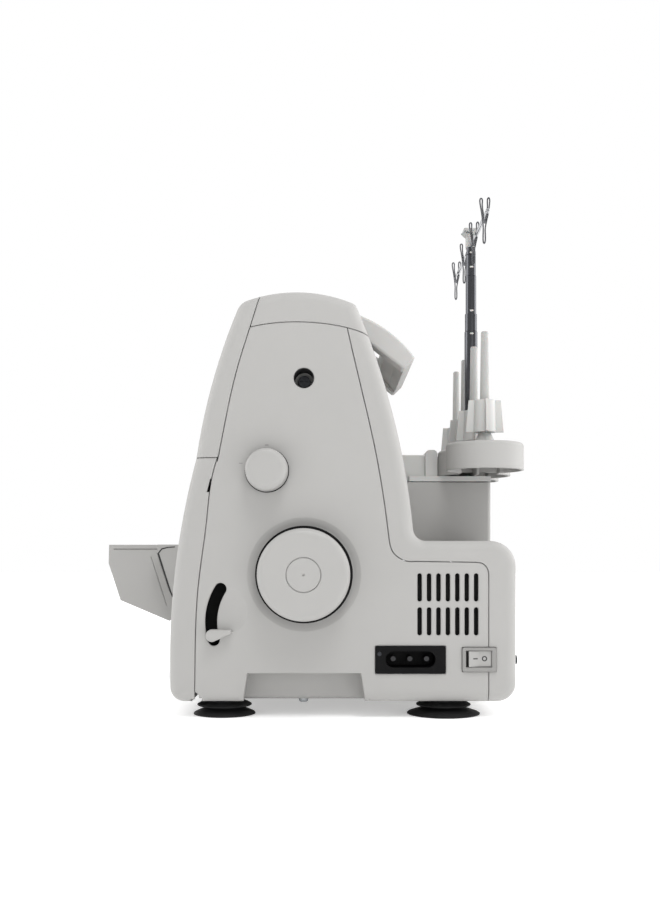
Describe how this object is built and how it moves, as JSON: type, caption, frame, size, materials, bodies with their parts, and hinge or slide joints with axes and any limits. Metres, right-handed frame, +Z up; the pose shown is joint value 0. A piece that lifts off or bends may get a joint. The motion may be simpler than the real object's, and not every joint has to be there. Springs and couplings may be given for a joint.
{
  "type": "serger overlock machine",
  "caption": "Free-standing domestic serger with a thread stand on a telescopic rod, handwheel on the right, looper cover, removable table and rear carry handle.",
  "frame": {"origin": "on the surface that the machine stands on, under the middle of its bounding box", "axes": "+Z up, +X to the operator's right (handwheel side), -Y the front that the operator faces"},
  "size_m": [0.366, 0.3456, 0.3896],
  "materials": {
    "body_abs": "fine moulded texture, warm light grey ABS",
    "inner_plastic": "moulded grey ABS",
    "control_abs": "satin moulded ABS",
    "dial_plastic": "satin moulded",
    "stand_plastic": "translucent white polypropylene",
    "tube_metal": "dark plated tube",
    "bright_steel": "polished, nickel plated",
    "plate_steel": "ground stainless steel",
    "cast_frame": "die-cast aluminium",
    "brass_parts": "turned brass and sintered bronze",
    "black_plastic": "black moulded nylon",
    "belt_rubber": "toothed rubber belt",
    "foot_rubber": "soft black rubber",
    "motor_can": "black lacquered steel",
    "lamp_lens": "frosted polycarbonate"
  },
  "bodies": {
    "root": {"base_pan": "body_abs", "carry_handle": "body_abs", "case_screws": "bright_steel", "drive_belt": "belt_rubber", "free_arm": "body_abs", "front_panel": "body_abs", "guide_tube_outer": "tube_metal", "inlet_pins": "brass_parts", "left_side_cover": "body_abs", "lower_knife": "bright_steel", "main_frame": "cast_frame", "motor": "motor_can", "needle_plate": "plate_steel", "power_inlet": "black_plastic", "rear_cover": "body_abs", "right_side_cover": "body_abs", "rubber_feet": "foot_rubber", "shaft_bushes": "brass_parts", "spool_pins": "stand_plastic", "spool_tower": "body_abs", "spool_tray": "body_abs", "switch_bezel": "control_abs", "tension_discs": "bright_steel", "thread_bay_wall": "inner_plastic", "top_cap": "body_abs", "tower_cap": "body_abs", "work_lamp": "lamp_lens"},
    "handwheel_shaft": {"handwheel": "control_abs", "handwheel_cap": "control_abs", "main_shaft": "bright_steel", "drive_pulley": "black_plastic"},
    "motor_rotor": {"motor_pulley": "black_plastic"},
    "stitch_dial": {"stitch_length_dial": "control_abs"},
    "feed_lever_body": {"feed_lever": "control_abs"},
    "power_rocker": {"switch_rocker": "dial_plastic"},
    "cover_carriage": {"cover_hinge_pin": "bright_steel"},
    "cover_door": {"looper_cover": "body_abs"},
    "table": {"extension_table": "body_abs"},
    "lifter": {"lifter_lever": "black_plastic"},
    "presser": {"presser_bar": "bright_steel", "presser_foot": "bright_steel"},
    "needle_bar_body": {"needle_bar": "bright_steel", "needles": "bright_steel"},
    "needle_rocker_body": {"needle_rocker": "bright_steel"},
    "feed": {"feed_dogs": "bright_steel"},
    "lower_looper_body": {"lower_looper": "bright_steel"},
    "upper_looper_body": {"upper_looper": "bright_steel"},
    "knife": {"upper_knife": "bright_steel"},
    "tube_middle": {"guide_tube_middle": "tube_metal"},
    "tube_top": {"guide_tube_inner": "tube_metal", "guide_head": "stand_plastic", "wire_guides": "bright_steel"},
    "tension_1": {"tension_dial_1": "dial_plastic"},
    "cone_1": {"cone_holder_1": "stand_plastic"},
    "tension_2": {"tension_dial_2": "dial_plastic"},
    "cone_2": {"cone_holder_2": "stand_plastic"},
    "tension_3": {"tension_dial_3": "dial_plastic"},
    "cone_3": {"cone_holder_3": "stand_plastic"},
    "tension_4": {"tension_dial_4": "dial_plastic"},
    "cone_4": {"cone_holder_4": "stand_plastic"}
  },
  "joints": [
    {"name": "handwheel_turn", "type": "hinge", "parent": "root", "child": "handwheel_shaft", "pos_m": [0, 0.0069, 0.1009], "axis": [1, 0, 0], "continuous": true},
    {"name": "motor_turn", "type": "hinge", "parent": "root", "child": "motor_rotor", "pos_m": [0, 0.104, 0.082], "axis": [1, 0, 0], "continuous": true},
    {"name": "stitch_length_turn", "type": "hinge", "parent": "root", "child": "stitch_dial", "pos_m": [0.161, -0.019, 0.1737], "axis": [1, 0, 0], "range_deg": [-120, 120]},
    {"name": "feed_lever_swing", "type": "hinge", "parent": "root", "child": "feed_lever_body", "pos_m": [0.15, -0.0157, 0.0679], "axis": [-1, 0, 0], "range_deg": [0, 39]},
    {"name": "power_switch", "type": "hinge", "parent": "root", "child": "power_rocker", "pos_m": [0.156, 0.1293, 0.042], "axis": [0, 0, 1], "range_deg": [-16, 0]},
    {"name": "looper_cover_slide", "type": "slide", "parent": "root", "child": "cover_carriage", "axis": [1, 0, 0], "range_m": [0, 0.008]},
    {"name": "looper_cover_swing", "type": "hinge", "parent": "cover_carriage", "child": "cover_door", "pos_m": [0.065, -0.071, 0.0146], "axis": [1, 0, 0], "range_deg": [0, 55]},
    {"name": "extension_table_slide", "type": "slide", "parent": "root", "child": "table", "axis": [1, 0, 0], "range_m": [-0.14, 0]},
    {"name": "presser_lifter", "type": "hinge", "parent": "root", "child": "lifter", "pos_m": [-0.108, 0.04, 0.206], "axis": [1, 0, 0], "range_deg": [0, 20]},
    {"name": "presser_bar_lift", "type": "slide", "parent": "root", "child": "presser", "axis": [0, 0, 1], "range_m": [0, 0.006]},
    {"name": "needle_bar_stroke", "type": "slide", "parent": "root", "child": "needle_bar_body", "axis": [0, 0, 1], "range_m": [-0.026, 0]},
    {"name": "needle_rocker_swing", "type": "hinge", "parent": "root", "child": "needle_rocker_body", "pos_m": [0, 0.008, 0.222], "axis": [-1, 0, 0], "range_deg": [-31, 1]},
    {"name": "feed_dog_travel", "type": "slide", "parent": "root", "child": "feed", "axis": [0, 1, 0], "range_m": [-0.0018, 0.0018]},
    {"name": "lower_looper_swing", "type": "hinge", "parent": "root", "child": "lower_looper_body", "pos_m": [-0.052, -0.04, 0.078], "axis": [0, 1, 0], "range_deg": [-7, 7]},
    {"name": "upper_looper_swing", "type": "hinge", "parent": "root", "child": "upper_looper_body", "pos_m": [-0.096, -0.04, 0.084], "axis": [0, 1, 0], "range_deg": [-6, 8]},
    {"name": "upper_knife_stroke", "type": "slide", "parent": "root", "child": "knife", "axis": [0, 0, 1], "range_m": [-0.003, 0.004]},
    {"name": "guide_tube_middle_slide", "type": "slide", "parent": "root", "child": "tube_middle", "axis": [0, 0, 1], "range_m": [0, 0.075]},
    {"name": "guide_tube_top_slide", "type": "slide", "parent": "tube_middle", "child": "tube_top", "axis": [0, 0, 1], "range_m": [0, 0.085]},
    {"name": "tension_dial_1_turn", "type": "hinge", "parent": "root", "child": "tension_1", "pos_m": [0.02, -0.0395, 0.241], "axis": [1, 0, 0], "range_deg": [-150, 150]},
    {"name": "tension_dial_2_turn", "type": "hinge", "parent": "root", "child": "tension_2", "pos_m": [0.052, -0.0395, 0.241], "axis": [1, 0, 0], "range_deg": [-150, 150]},
    {"name": "tension_dial_3_turn", "type": "hinge", "parent": "root", "child": "tension_3", "pos_m": [0.084, -0.0395, 0.241], "axis": [1, 0, 0], "range_deg": [-150, 150]},
    {"name": "tension_dial_4_turn", "type": "hinge", "parent": "root", "child": "tension_4", "pos_m": [0.116, -0.0395, 0.241], "axis": [1, 0, 0], "range_deg": [-150, 150]},
    {"name": "cone_holder_1_lift", "type": "slide", "parent": "root", "child": "cone_1", "axis": [0, 0, 1], "range_m": [0, 0.06]},
    {"name": "cone_holder_2_lift", "type": "slide", "parent": "root", "child": "cone_2", "axis": [0, 0, 1], "range_m": [0, 0.06]},
    {"name": "cone_holder_3_lift", "type": "slide", "parent": "root", "child": "cone_3", "axis": [0, 0, 1], "range_m": [0, 0.06]},
    {"name": "cone_holder_4_lift", "type": "slide", "parent": "root", "child": "cone_4", "axis": [0, 0, 1], "range_m": [0, 0.06]}
  ],
  "couplings": [
    {"joint": "motor_turn", "follows": "handwheel_turn", "ratio": 3.0909},
    {"joint": "presser_lifter", "follows": "presser_bar_lift", "rad_per_m": 58},
    {"joint": "needle_rocker_swing", "follows": "needle_bar_stroke", "rad_per_m": 20.5}
  ]
}
